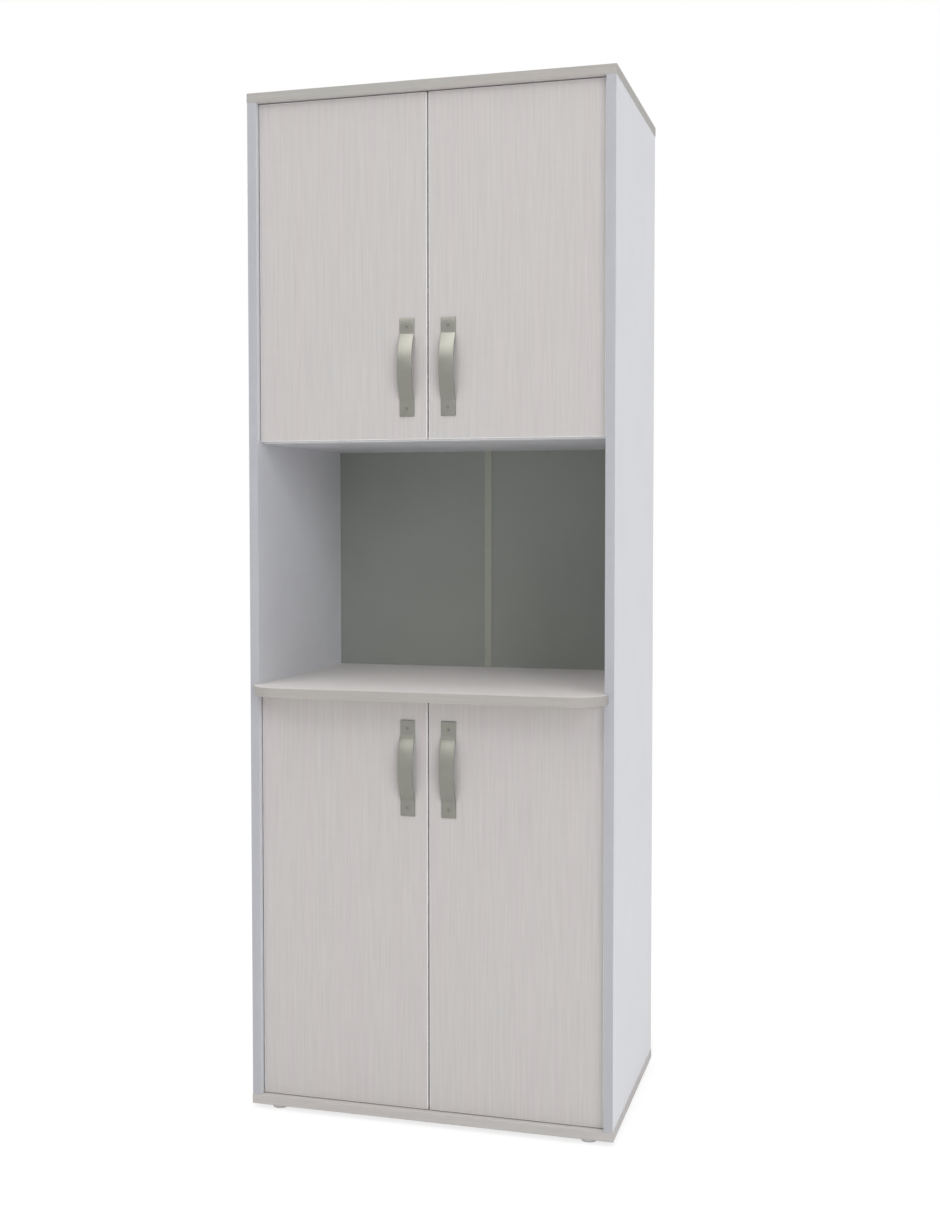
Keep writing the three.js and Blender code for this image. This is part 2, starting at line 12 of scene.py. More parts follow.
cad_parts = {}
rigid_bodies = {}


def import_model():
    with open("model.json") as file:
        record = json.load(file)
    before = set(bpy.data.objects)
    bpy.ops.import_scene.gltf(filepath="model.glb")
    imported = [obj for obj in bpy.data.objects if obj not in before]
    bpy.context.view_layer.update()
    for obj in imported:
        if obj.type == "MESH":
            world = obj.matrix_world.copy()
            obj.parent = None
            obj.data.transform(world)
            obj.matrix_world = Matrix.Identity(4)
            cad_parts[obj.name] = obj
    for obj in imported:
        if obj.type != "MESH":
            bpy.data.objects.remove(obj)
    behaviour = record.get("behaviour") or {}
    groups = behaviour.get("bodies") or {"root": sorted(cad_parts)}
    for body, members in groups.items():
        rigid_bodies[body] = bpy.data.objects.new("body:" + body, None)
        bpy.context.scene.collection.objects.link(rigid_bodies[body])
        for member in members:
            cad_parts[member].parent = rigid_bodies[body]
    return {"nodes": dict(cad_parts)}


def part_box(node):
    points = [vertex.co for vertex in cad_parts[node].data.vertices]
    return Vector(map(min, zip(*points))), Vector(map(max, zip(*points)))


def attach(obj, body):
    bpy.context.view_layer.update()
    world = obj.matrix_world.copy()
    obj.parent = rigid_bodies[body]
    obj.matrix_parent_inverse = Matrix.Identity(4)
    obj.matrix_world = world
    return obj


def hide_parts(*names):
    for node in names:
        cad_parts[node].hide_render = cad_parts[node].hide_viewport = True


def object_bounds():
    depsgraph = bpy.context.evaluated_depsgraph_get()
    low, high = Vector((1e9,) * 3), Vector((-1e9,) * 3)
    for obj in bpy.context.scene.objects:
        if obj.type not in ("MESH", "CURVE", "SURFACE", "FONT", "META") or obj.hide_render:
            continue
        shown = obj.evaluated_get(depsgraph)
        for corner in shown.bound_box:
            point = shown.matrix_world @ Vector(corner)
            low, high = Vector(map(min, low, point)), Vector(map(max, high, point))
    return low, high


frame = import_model()
cad_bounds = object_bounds()

MM = 0.001
carcass_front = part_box("side_panel_left")[0].y
carcass_to_row = Matrix.Translation((0, carcass_front, 0)) @ Matrix.Scale(MM, 4)
row_to_carcass = carcass_to_row.inverted()

X, Y, Z = 0, 1, 2
LEFT, RIGHT = -1, 1
SIDES = {"left": LEFT, "right": RIGHT}
ROWS = ("upper", "lower")


def cad_box(node):
    """Lowest and highest corner of a CAD node in the carcass frame."""
    lowest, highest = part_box(node)
    return row_to_carcass @ lowest, row_to_carcass @ highest


def cad_middle(node):
    lowest, highest = cad_box(node)
    return (lowest + highest) / 2


def body_of(node):
    return frame["nodes"][node].parent.name.removeprefix("body:")


def both_ways(spacing):
    """The two places this far apart, to either side of 0."""
    return -spacing / 2, spacing / 2


# ---------------- sizes read from the frame

side_low, side_high = cad_box("side_panel_right")
inner_half = side_low.x
depth = side_high.y
board = side_high.x - side_low.x
bottom_top = side_low.z
top_underside = side_high.z
ceiling_middle = cad_box("niche_ceiling_panel")[0].z + board / 2
shelf_middle = cad_box("microwave_shelf")[0].z + board / 2
door_front, door_back = (corner.y for corner in cad_box("door_upper_right"))
sheet_corner = cad_box("back_panel_right")[1]

# ---------------- sizes of fittings, as in the part

joint_from_edge = 70
cam_radius = 7.2
cam_length = 12
cam_from_end = 34
bolt_radius = 3
bolt_thread_radius = 2.4
bolt_thread_length = 10
dowel_radius = 4
dowel_foot_length = 10
dowel_body_length = 20
dowel_from_bolt = 32
pin_radius = 2.4
pin_length = 8.7
pin_collar_radius = 3.4
pin_collar = 1
peg_reach = 8
pin_pitch = 32
foot_radius = 13
foot_height = 8
foot_well = 3
foot_nail_radius = 1.4
foot_nail_head = 3.6
foot_nail_head_height = 1.2
foot_nail_grip = 10
handle_width = 24
handle_strap = 2
handle_tab = 26
handle_rise = 15
handle_screw_spacing = 128
cup_radius = 17.2
cup_wall = 0.8
cup_depth = 11.6
cup_flange = 1.2
cup_rim_radius = 19
cup_ear_half = 6
cup_inset = 25
cup_screw_spacing = 48
cup_screw_offset = 6
wood_screw_head = 3.2
wood_screw_radius = 1.6
wood_screw_length = 11
plate_screw_head = 4.5
plate_screw_radius = 2.8
plate_screw_length = 12
plate_sheet = 2
plate_screw_spacing = 32
plate_wing_width = 14
plate_rail_inset = 3
plate_screw_setback = 62.5
clamp_offset = 9
arm_sheet = 1.5
arm_width = 15
arm_length = 40
arm_height = 12
arm_neck_width = 10
arm_foot_gap = 1.1
knuckle_inset = 22.2
knuckle_setback = 17.4
knuckle_radius = 2.3
knuckle_height = 6
tongue_length = 15.6
link_cheek = 1.5
link_strap = 2.4
link_pin_radius = 1.2
link_heel = 2
link_run = 13.8
link_rise = 0.8
link_dip = 7
link_dip_run = 1.6
link_rest_turn = radians(20)
seam = 0.3
round_sides = 40
screw_sides = 32


# ---------------- looks

def empty_tree(owner):
    """The node tree of a material or world, with nothing in it."""
    owner.use_nodes = True
    owner.node_tree.nodes.clear()
    return owner.node_tree


def add_node(tree, kind, values=None, **settings):
    """A node with its settings; each value is a constant or the socket that feeds that input."""
    node = tree.nodes.new(kind)
    for name, value in settings.items():
        setattr(node, name, value)
    for socket, value in (values or {}).items():
        if isinstance(value, bpy.types.NodeSocket):
            tree.links.new(value, node.inputs[socket])
        else:
            node.inputs[socket].default_value = value
    return node


class Look:
    """A node material round one Principled shader."""

    def __init__(self, name, **constants):
        self.material = bpy.data.materials.new(name)
        self.tree = empty_tree(self.material)
        self.shader = self.add("ShaderNodeBsdfPrincipled")
        self.add("ShaderNodeOutputMaterial", {"Surface": self.shader.outputs["BSDF"]})
        self.place = self.add("ShaderNodeTexCoord").outputs["Object"]
        for socket, value in constants.items():
            self.shader.inputs[socket.replace("_", " ")].default_value = value

    def add(self, kind, values=None, **settings):
        return add_node(self.tree, kind, values, **settings)

    def stretched(self, per_metre):
        """The piece's own coordinates, with this many units to the metre along X, Y and Z."""
        return self.add("ShaderNodeMapping", {"Vector": self.place, "Scale": per_metre}).outputs[0]

    def noise(self, per_metre, detail=2.0, roughness=0.5):
        """Noise with this many grains to the metre along X, Y and Z."""
        values = {
            "Vector": self.stretched(per_metre), "Scale": 1.0, "Detail": detail,
            "Roughness": roughness,
        }
        return self.add("ShaderNodeTexNoise", values).outputs[0]

    def cells(self, per_metre):
        values = {"Vector": self.stretched(per_metre), "Scale": 1.0}
        return self.add("ShaderNodeTexVoronoi", values)

    def spread(self, value, low, high, to_low=0.0, to_high=1.0):
        values = {
            "Value": value, "From Min": low, "From Max": high, "To Min": to_low, "To Max": to_high,
        }
        return self.add("ShaderNodeMapRange", values).outputs[0]

    def math(self, operation, first, second):
        return self.add("ShaderNodeMath", {0: first, 1: second}, operation=operation).outputs[0]

    def sum(self, *shares):
        """Weighted sum of (value, weight) pairs."""
        total = None
        for value, weight in shares:
            part = self.math("MULTIPLY", value, weight)
            total = part if total is None else self.math("ADD", total, part)
        return total

    def mix(self, share, first, second, blend="MIX"):
        """Two colours, each a tuple or a socket, mixed by a share."""
        first, second = [(*c, 1.0) if isinstance(c, tuple) else c for c in (first, second)]
        values = {0: share, 6: first, 7: second}
        return self.add("ShaderNodeMix", values, data_type="RGBA", blend_type=blend).outputs[2]

    def bump(self, height, rise):
        """Relief of this many metres."""
        values = {"Height": height, "Distance": rise, "Strength": 1.0}
        relief = self.add("ShaderNodeBump", values).outputs[0]
        self.tree.links.new(relief, self.shader.inputs["Normal"])

    def finish(self, color, roughness):
        self.tree.links.new(color, self.shader.inputs["Base Color"])
        self.tree.links.new(roughness, self.shader.inputs["Roughness"])
        return self.material


def tinted(color, factor):
    return tuple(channel * factor for channel in color)


def linen_look(name, color, along=Z):
    """Melamine printed and pressed like linen, with its threads along one axis: fine threads,
    broader slubs and a slow drift of tint."""
    look = Look(name, Specular_IOR_Level=0.45)

    def threads(across, lengthwise):
        scale = [across, across, across]
        scale[along] = lengthwise
        return tuple(scale)

    fine = look.noise(threads(1000, 13), detail=2)
    slubs = look.noise(threads(290, 7), detail=2)
    drift = look.noise(threads(42, 1.8), detail=2)
    weft = look.noise(threads(26, 1100), detail=1)
    shade = look.sum((fine, 0.42), (slubs, 0.42), (weft, 0.16))
    pink = color[0] * 1.008, color[1] * 0.992, color[2] * 0.992
    green = color[0] * 0.992, color[1] * 1.004, color[2] * 0.995
    base = look.mix(look.spread(drift, 0.36, 0.64), green, pink)
    lighter = look.mix(1.0, base, (1.065, 1.065, 1.065), "MULTIPLY")
    darker = look.mix(1.0, base, (0.925, 0.925, 0.932), "MULTIPLY")
    look.bump(look.sum((fine, 0.7), (weft, 0.3)), 0.00005)
    return look.finish(
        look.mix(look.spread(shade, 0.34, 0.66), darker, lighter),
        look.spread(slubs, 0.3, 0.7, 0.5, 0.62),
    )


def melamine_look(name, color, roughness):
    """Plain melamine: a faint cloudiness and the fine orange-peel of the press plate."""
    look = Look(name, Specular_IOR_Level=0.5)
    cloud = look.noise((9, 9, 9), detail=4, roughness=0.6)
    peel = look.noise((700, 700, 700), detail=2)
    shade = look.sum((cloud, 0.6), (peel, 0.4))
    look.bump(peel, 0.00003)
    return look.finish(
        look.mix(look.spread(shade, 0.3, 0.7), tinted(color, 0.965), tinted(color, 1.035)),
        look.spread(peel, 0.3, 0.7, roughness - 0.05, roughness + 0.06),
    )


def band_look(name, color, roughness=0.42):
    """Edge band: a plastic tape with a fine grain and rubbed places."""
    look = Look(name, Specular_IOR_Level=0.5)
    marks = look.noise((420, 420, 420), detail=3)
    rubbed = look.noise((22, 22, 22), detail=4, roughness=0.65)
    shade = look.sum((marks, 0.45), (rubbed, 0.55))
    look.bump(marks, 0.00003)
    return look.finish(
        look.mix(look.spread(shade, 0.3, 0.7), tinted(color, 0.95), tinted(color, 1.04)),
        look.spread(rubbed, 0.3, 0.7, roughness - 0.08, roughness + 0.08),
    )


def chipboard_look():
    """Raw chipboard, in drillings and on edges that carry no band."""
    look = Look("raw_chipboard", Specular_IOR_Level=0.2)
    chips = look.cells((420, 420, 900))
    flecks = look.noise((900, 900, 900), detail=3)
    tone = look.add("ShaderNodeSeparateColor", {0: chips.outputs["Color"]}).outputs[0]
    base = look.mix(tone, (0.40, 0.27, 0.15), (0.62, 0.47, 0.30))
    color = look.mix(look.spread(flecks, 0.35, 0.75), base, (0.23, 0.14, 0.075))
    look.bump(look.sum((chips.outputs["Distance"], 0.6), (flecks, 0.4)), 0.0003)
    return look.finish(color, look.spread(flecks, 0.2, 0.8, 0.8, 0.95))


def hardboard_look():
    """The unpainted rear of the back sheets: pressed brown fibre with a fine screen pattern."""
    look = Look("raw_hardboard", Specular_IOR_Level=0.25)
    fibre = look.noise((160, 160, 420), detail=5, roughness=0.7)
    cloud = look.noise((7, 7, 5), detail=3)
    screen = look.cells((1100, 1100, 1100)).outputs["Distance"]
    base = look.mix(look.spread(cloud, 0.3, 0.7), (0.255, 0.150, 0.078), (0.335, 0.205, 0.112))
    color = look.mix(look.spread(fibre, 0.45, 0.8), base, (0.45, 0.30, 0.18))
    look.bump(look.sum((screen, 0.6), (fibre, 0.4)), 0.00012)
    return look.finish(color, look.spread(fibre, 0.3, 0.7, 0.62, 0.8))


def metal_look(name, color, roughness, brushed=(240, 240, 240), anisotropy=0.0):
    """Plated metal with a slow change of tone and fine marks. brushed is how many marks there are
    to the metre along X, Y and Z."""
    look = Look(name, Metallic=1.0, Anisotropic=anisotropy)
    marks = look.noise(brushed, detail=4, roughness=0.6)
    breath = look.noise((60, 60, 60), detail=3)
    look.bump(marks, 0.000012)
    shade = look.sum((marks, 0.5), (breath, 0.5))
    return look.finish(
        look.mix(look.spread(shade, 0.3, 0.7), tinted(color, 0.93), tinted(color, 1.07)),
        look.spread(shade, 0.3, 0.7, roughness - 0.05, roughness + 0.07),
    )


def plastic_look(name, color, roughness=0.4):
    look = Look(name, Specular_IOR_Level=0.5)
    grain = look.noise((1400, 1400, 1400), detail=2)
    scuffs = look.noise((70, 70, 70), detail=5, roughness=0.7)
    look.bump(grain, 0.00002)
    return look.finish(
        look.mix(look.spread(scuffs, 0.35, 0.75), color, tinted(color, 0.9)),
        look.spread(scuffs, 0.3, 0.7, roughness - 0.06, roughness + 0.1),
    )


def beech_look():
    """Turned beech dowel with its short dark flecks."""
    look = Look("beech", Specular_IOR_Level=0.3)
    grain = look.noise((260, 260, 900), detail=4)
    flecks = look.cells((700, 700, 1500)).outputs["Distance"]
    base = look.mix(look.spread(grain, 0.3, 0.7), (0.50, 0.33, 0.19), (0.66, 0.47, 0.30))
    look.bump(grain, 0.00006)
    return look.finish(
        look.mix(look.spread(flecks, 0.08, 0.0), base, (0.30, 0.17, 0.09)),
        look.spread(grain, 0.3, 0.7, 0.55, 0.7),
    )


white = melamine_look("white_melamine_face", (0.717, 0.721, 0.756), roughness=0.34)
white_inside = melamine_look("white_melamine_inside", (0.717, 0.721, 0.750), roughness=0.34)
cool_band = band_look("grey_violet_band", (0.472, 0.478, 0.510))
pale_band = band_look("pale_band", (0.820, 0.825, 0.840))
warm_face = linen_look("warm_linen_face", (0.600, 0.578, 0.562), along=X)
# The shelf's linen is a lighter copy of the warm linen: painted light, for the light that falls on
# the shelf from above.
shelf_face_painted_light = linen_look("shelf_linen_face", (0.715, 0.688, 0.670), along=X)
warm_band = linen_look("warm_linen_band", (0.440, 0.422, 0.400), along=X)
# The bottom panel's band is a lighter copy of the warm linen band: painted light low down by the
# floor.
bottom_band_painted_light = linen_look("bottom_linen_band", (0.545, 0.522, 0.505), along=X)
door_face = linen_look("door_linen_face", (0.584, 0.560, 0.550))
door_band = band_look("door_band", (0.840, 0.825, 0.820), roughness=0.32)
chipboard = chipboard_look()
# The back sheets' lacquer is darkened to a grey-green: painted shade for the shade inside the
# niche. The lacquer itself is paler.
back_lacquer_painted_shade = melamine_look("lacquered_sheet", (0.300, 0.315, 0.290), roughness=0.55)
hardboard = hardboard_look()
nickel = metal_look("satin_nickel", (0.274, 0.274, 0.244), 0.41, (1500, 1500, 60), 0.35)
steel = metal_look("nickel_plated_steel", (0.560, 0.562, 0.570), 0.26)
dull_zinc = metal_look("cast_zinc", (0.420, 0.430, 0.445), 0.42)
plastic = plastic_look("white_moulded_plastic", (0.760, 0.760, 0.750))
# The back joint strip is white plastic darkened to grey: painted shade, as on the back sheets in
# the niche.
joint_strip_painted_shade = plastic_look("grey_strip_plastic", (0.400, 0.410, 0.345))
beech = beech_look()


# ---------------- shapes

def block(low, high):
    """A box between any two opposite corners."""
    bm = bmesh.new()
    middle = (Vector(low) + Vector(high)) / 2
    size = [abs(b - a) for a, b in zip(low, high)]
    place = Matrix.Translation(middle) @ Matrix.Diagonal((*size, 1))
    bmesh.ops.create_cube(bm, size=1, matrix=place)
    return bm


def turned(profile, sides=round_sides):
    """A closed turned shape round Z, from (radius, height) points that start and end on the axis.
    A radius may be a function of the angle."""
    bm = bmesh.new()
    rings = []
    for radius, height in profile:
        if radius == 0:
            rings.append([bm.verts.new((0, 0, height))])
            continue
        reach = radius if callable(radius) else lambda angle, radius=radius: radius
        angles = [2 * pi * step / sides for step in range(sides)]
        rings.append([bm.verts.new((reach(a) * cos(a), reach(a) * sin(a), height)) for a in angles])
    for lower, upper in zip(rings, rings[1:]):
        for step in range(sides):
            after = (step + 1) % sides
            corners = [
                lower[step % len(lower)], lower[after % len(lower)],
                upper[after % len(upper)], upper[step % len(upper)],
            ]
            bm.faces.new(list(dict.fromkeys(corners)))
    bmesh.ops.recalc_face_normals(bm, faces=bm.faces)
    return bm


def bar(radius, length, sides=round_sides):
    return turned([(0, 0), (radius, 0), (radius, length), (0, length)], sides)


def slab(outline, low, high):
    """A flat outline in X and Y between two heights."""
    bm = bmesh.new()
    face = bm.faces.new([bm.verts.new((x, y, low)) for x, y in outline])
    grown = bmesh.ops.extrude_face_region(bm, geom=[face])
    rising = [v for v in grown["geom"] if isinstance(v, bmesh.types.BMVert)]
    bmesh.ops.translate(bm, verts=rising, vec=(0, 0, high - low))
    bmesh.ops.recalc_face_normals(bm, faces=bm.faces)
    return bm


def rounded_outline(low, high, radius, steps=6):
    """A rectangle in X and Y with rounded corners."""
    points = []
    corners = [(high[0], high[1]), (low[0], high[1]), (low[0], low[1]), (high[0], low[1])]
    for quarter, (x, y) in enumerate(corners):
        cx = x - radius if x == high[0] else x + radius
        cy = y - radius if y == high[1] else y + radius
        for step in range(steps + 1):
            angle = (quarter + step / steps) * pi / 2
            points.append((cx + radius * cos(angle), cy + radius * sin(angle)))
    return points


def moved(bm, matrix):
    bmesh.ops.transform(bm, matrix=matrix, verts=bm.verts)
    if matrix.determinant() < 0:
        bmesh.ops.reverse_faces(bm, faces=bm.faces)
    return bm


def aimed(bm, foot, direction):
    """Moves a shape that stands on the origin along +Z to a new foot and direction."""
    turn = Vector((0, 0, 1)).rotation_difference(Vector(direction)).to_matrix().to_4x4()
    return moved(bm, Matrix.Translation(Vector(foot)) @ turn)


def as_mesh(bm, name="shape"):
    mesh = bpy.data.meshes.new(name)
    bm.to_mesh(mesh)
    bm.free()
    return mesh


def new_object(name, data):
    obj = bpy.data.objects.new(name, data)
    bpy.context.collection.objects.link(obj)
    return obj


def together(shapes):
    """Several shapes as one, still separate bodies."""
    whole = bmesh.new()
    for shape in shapes:
        mesh = as_mesh(shape)
        whole.from_mesh(mesh)
        bpy.data.meshes.remove(mesh)
    return whole


def fused(shapes, cutters=()):
    """Overlapping closed shapes as one closed skin, less the cutters."""
    first, *others = [new_object("helper", as_mesh(shape)) for shape in shapes]
    tools = [(obj, "UNION") for obj in others]
    tools += [(new_object("helper", as_mesh(shape)), "DIFFERENCE") for shape in cutters]
    for obj, operation in tools:
        modifier = first.modifiers.new("join", "BOOLEAN")
        modifier.solver = "MANIFOLD"
        modifier.operation = operation
        modifier.object = obj
    seen = first.evaluated_get(bpy.context.evaluated_depsgraph_get())
    result = bmesh.new()
    result.from_mesh(seen.to_mesh())
    seen.to_mesh_clear()
    for obj in [first] + [tool for tool, _ in tools]:
        mesh = obj.data
        bpy.data.objects.remove(obj)
        bpy.data.meshes.remove(mesh)
    return cleaned(result)


def cleaned(bm):
    """Flat faces as few as they can be, with no doubled corners."""
    bmesh.ops.remove_doubles(bm, verts=bm.verts, dist=0.002)
    bmesh.ops.dissolve_limit(bm, angle_limit=radians(0.6), verts=bm.verts, edges=bm.edges)
    return bm


def softened(bm, width, segments=2, pick=lambda edge: True, look=-1):
    """Rounds the sharp edges that pick accepts. look is the material slot of the rounding; -1 takes
    that of a face beside it."""
    sharper_than = radians(40)
    edges = [
        e for e in bm.edges
        if len(e.link_faces) == 2 and e.calc_face_angle() > sharper_than and pick(e)
    ]
    bmesh.ops.bevel(
        bm, geom=edges, offset=width, segments=segments, profile=0.5, affect="EDGES",
        clamp_overlap=True, material=look,
    )
    return bm


def from_cad(node):
    """A CAD node's own shape, in the carcass frame."""
    bm = bmesh.new()
    bm.from_mesh(frame["nodes"][node].data)
    moved(bm, row_to_carcass)
    bmesh.ops.remove_doubles(bm, verts=bm.verts, dist=0.002)
    return bm


def piece(name, bm, looks, body, replaces=(), weighted=False):
    """Makes a shape drawn in the carcass frame a piece that rides on a body."""
    crease = radians(38)
    moved(bm, carcass_to_row)
    for edge in bm.edges:
        edge.smooth = len(edge.link_faces) == 2 and edge.calc_face_angle() < crease
    for face in bm.faces:
        face.smooth = True
    mesh = as_mesh(bm, name)
    for look in looks if isinstance(looks, (list, tuple)) else [looks]:
        mesh.materials.append(look)
    obj = new_object(name, mesh)
    if weighted:
        modifier = obj.modifiers.new("flat_faces", "WEIGHTED_NORMAL")
        modifier.keep_sharp = True
    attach(obj, body)
    if replaces:
        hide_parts(*replaces)


# ---------------- screws

def cross(reach, half):
    """Outline of a cross recess, as a radius for each angle."""
    def radius(angle):
        turn = abs((angle + pi / 4) % (pi / 2) - pi / 4)
        return min(reach / cos(turn), half / max(sin(turn), 1e-6))
    return radius


def screw(head, shank, length, recess=1.6, dome=0.25, cross_share=0.56):
    """A countersunk screw along Z; its head's rim is at height 0 and its tip below."""
    reach = head * cross_share
    half = reach * 0.27
    return turned([
        (0, -length),
        (shank, -length + 2 * shank),
        (shank, -head * 0.7),
        (head - 0.1, -0.25),
        (head, -0.1),
        (head - 0.15, 0),
        (head * 0.8, dome * 0.7),
        (cross(reach + 0.15, half + 0.12), dome),
        (cross(reach, half), dome - 0.25),
        (cross(reach * 0.55, half * 0.7), dome - recess),
        (0, dome - recess - 0.3),
    ], screw_sides)


# ---------------- knock-down joints

def panel_joints():
    """Where each bolt crosses the seam between two panels, as in the part: into runs into the panel
    that has the cam, face points out of the face that the cam is let into, and step runs from the
    bolt to its dowel."""
    joints = []
    up, down = Vector((0, 0, 1)), Vector((0, 0, -1))
    for side_name, side in SIDES.items():
        side_panel = f"side_panel_{side_name}"
        inward = Vector((-side, 0, 0))
        inner_face = side * inner_half
        edge_middle = side * (inner_half + board / 2)
        for y, along in ((joint_from_edge, 1), (depth - joint_from_edge, -1)):
            step = Vector((0, along, 0))
            seams = [
                (side_panel, "top_panel", (edge_middle, y, top_underside), down, inward),
                (side_panel, "bottom_panel", (edge_middle, y, bottom_top), up, inward),
                ("niche_ceiling_panel", side_panel, (inner_face, y, ceiling_middle), inward, up),
                ("microwave_shelf", side_panel, (inner_face, y, shelf_middle), inward, down),
            ]
            row = "front" if along > 0 else "back"
            for cam_panel, bolt_board, foot, into, face in seams:
                key = f"{bolt_board if cam_panel == side_panel else cam_panel}_{side_name}_{row}"
                joints.append((key, cam_panel, bolt_board, Vector(foot), into, face, step))
    return joints


drillings = {}


def drill(node, foot, direction, radius, length):
    """A round blind hole in the board that stands for this node."""
    spare = 0.02
    overshoot = 0.5
    start = Vector(foot) - Vector(direction) * overshoot
    hole = aimed(bar(radius + seam + spare, length + seam + spare + overshoot), start, direction)
    drillings.setdefault(node, []).append(hole)


def cam_shape():
    """The turned cam, with the round way through it for its bolt."""
    can = turned([
        (0, -cam_length),
        (cam_radius - 0.5, -cam_length),
        (cam_radius, -cam_length + 0.5),
        (cam_radius, -0.4),
        (cam_radius - 0.4, 0),
        (cam_radius - 1.2, 0),
        (cam_radius - 1.5, -0.4),
        (cross(4.4, 1.1), -0.4),
        (cross(4.1, 0.85), -3.4),
        (0, -3.8),
    ], round_sides)
    bolt_way = aimed(bar(bolt_radius + 0.6, cam_radius + 4), (0, 0, -board / 2), (1, 0, 0))
    return fused([can], [bolt_way])


def bolt_shape():
    """The cam bolt: its thread below height 0, its neck and head above."""
    return turned([
        (0, -bolt_thread_length),
        (bolt_thread_radius - 0.6, -bolt_thread_length),
        (bolt_thread_radius, -bolt_thread_length + 1),
        (bolt_thread_radius, -0.8),
        (bolt_radius, -0.6),
        (bolt_radius, cam_from_end - 8),
        (bolt_radius - 1.2, cam_from_end - 7),
        (bolt_radius - 1.2, cam_from_end - 3.4),
        (bolt_radius - 0.3, cam_from_end - 2.4),
        (bolt_radius - 0.3, cam_from_end - 1.2),
        (0, cam_from_end - 0.6),
    ], screw_sides)


def dowel_shape():
    flutes, flute_depth = 10, 0.25

    def fluted(angle):
        return dowel_radius - flute_depth * (0.5 + 0.5 * cos(angle * flutes))

    return turned([
        (0, -dowel_foot_length),
        (dowel_radius - 0.9, -dowel_foot_length),
        (fluted, -dowel_foot_length + 1),
        (fluted, dowel_body_length - 1),
        (dowel_radius - 0.9, dowel_body_length),
        (0, dowel_body_length),
    ], round_sides)


def make_joints():
    cam, bolt, dowel = cam_shape(), bolt_shape(), dowel_shape()
    for key, cam_panel, bolt_board, foot, into, face, step in panel_joints():
        cam_face = foot + into * cam_from_end + face * board / 2
        dowel_seam = foot + step * dowel_from_bolt
        drill(cam_panel, cam_face, -face, cam_radius, cam_length)
        drill(cam_panel, foot, into, bolt_radius, cam_from_end)
        drill(cam_panel, dowel_seam, into, dowel_radius, dowel_body_length)
        drill(bolt_board, foot, -into, bolt_thread_radius, bolt_thread_length)
        drill(bolt_board, dowel_seam, -into, dowel_radius, dowel_foot_length)
        turn = Matrix((-into, face.cross(-into), face)).transposed().to_4x4()
        piece(f"cam_{key}", moved(cam.copy(), Matrix.Translation(cam_face) @ turn), dull_zinc,
              "root")
        piece(f"bolt_{key}", aimed(bolt.copy(), foot, into), steel, "root")
        piece(f"dowel_{key}", aimed(dowel.copy(), dowel_seam, into), beech, "root")


# ---------------- shelf pins

def pin_shape():
    """A shelf pin: its shank below height 0, its collar and peg above."""
    return turned([
        (0, -pin_length),
        (pin_radius - 0.4, -pin_length),
        (pin_radius, -pin_length + 0.4),
        (pin_radius, 0),
        (pin_collar_radius - 0.2, 0),
        (pin_collar_radius, 0.2),
        (pin_collar_radius, pin_collar - 0.2),
        (pin_collar_radius - 0.2, pin_collar),
        (pin_radius, pin_collar),
        (pin_radius, pin_collar + peg_reach - 0.8),
        (pin_radius - 0.8, pin_collar + peg_reach),
        (0, pin_collar + peg_reach),
    ], screw_sides)


def make_shelf_pins():
    pin = pin_shape()
    for row in ROWS:
        for side_name, side in SIDES.items():
            for column in ("front", "back"):
                node = f"shelf_pin_{row}_{side_name}_{column}"
                middle = cad_middle(node)
                seat = Vector((side * inner_half, middle.y, middle.z))
                for step in (-1, 0, 1):
                    spot = seat + Vector((0, 0, step * pin_pitch))
                    drill(f"side_panel_{side_name}", spot, (side, 0, 0), pin_radius, pin_length)
                piece(f"{node}_turned", aimed(pin.copy(), seat, (-side, 0, 0)), steel, "root",
                      [node])


# ---------------- feet

def glide_shape():
    """A foot from the floor up, with the well and the bore for its nail."""
    pad = turned([
        (0, 0),
        (foot_radius - 2.4, 0),
        (foot_radius - 0.8, 0.5),
        (foot_radius, 1.7),
        (foot_radius, foot_height - 2),
        (foot_radius - 0.5, foot_height - 1.4),
        (foot_radius - 1.5, foot_height - 1),
        (foot_radius - 1.5, foot_height),
        (0, foot_height),
    ])
    well = turned([
        (0, -1), (foot_nail_head + 0.9, -1), (foot_nail_head + seam, 0.6),
        (foot_nail_head + seam, foot_well), (0, foot_well),
    ])
    return fused([pad], [well, bar(foot_nail_radius + seam, foot_height + 1, screw_sides)])


def foot_nail_shape(tip):
    return turned([
        (0, foot_well - foot_nail_head_height - 0.1),
        (foot_nail_head * 0.6, foot_well - foot_nail_head_height),
        (foot_nail_head, foot_well - foot_nail_head_height + 0.4),
        (foot_nail_head, foot_well),
        (foot_nail_radius, foot_well),
        (foot_nail_radius, tip - 2),
        (0, tip),
    ], screw_sides)


def make_feet():
    tip = foot_height + foot_nail_grip
    glide, nail = glide_shape(), foot_nail_shape(tip)
    for corner in ("front_left", "front_right", "back_left", "back_right"):
        spot = cad_middle(f"foot_{corner}")
        spot.z = 0
        place = Matrix.Translation(spot)
        piece(f"foot_{corner}_glide", moved(glide.copy(), place), plastic, "root",
              [f"foot_{corner}"])
        piece(f"foot_nail_{corner}_turned", moved(nail.copy(), place), steel, "root",
              [f"foot_nail_{corner}"])
        drill("bottom_panel", spot, (0, 0, 1), foot_nail_radius, tip)


# ---------------- back

def make_back():
    for side_name in SIDES:
        node = f"back_panel_{side_name}"
        sheet = softened(block(*cad_box(node)), 0.15, segments=1)
        for face in sheet.faces:
            face.material_index = 0 if face.normal.y < -0.9 else 1
        piece(f"{node}_sheet", sheet, [back_lacquer_painted_shade, hardboard], "root", [node],
              weighted=True)
    strip = softened(cleaned(from_cad("back_joint_strip")), 0.2)
    piece("back_joint_strip_profile", strip, joint_strip_painted_shade, "root",
          ["back_joint_strip"], weighted=True)
    make_back_nails()


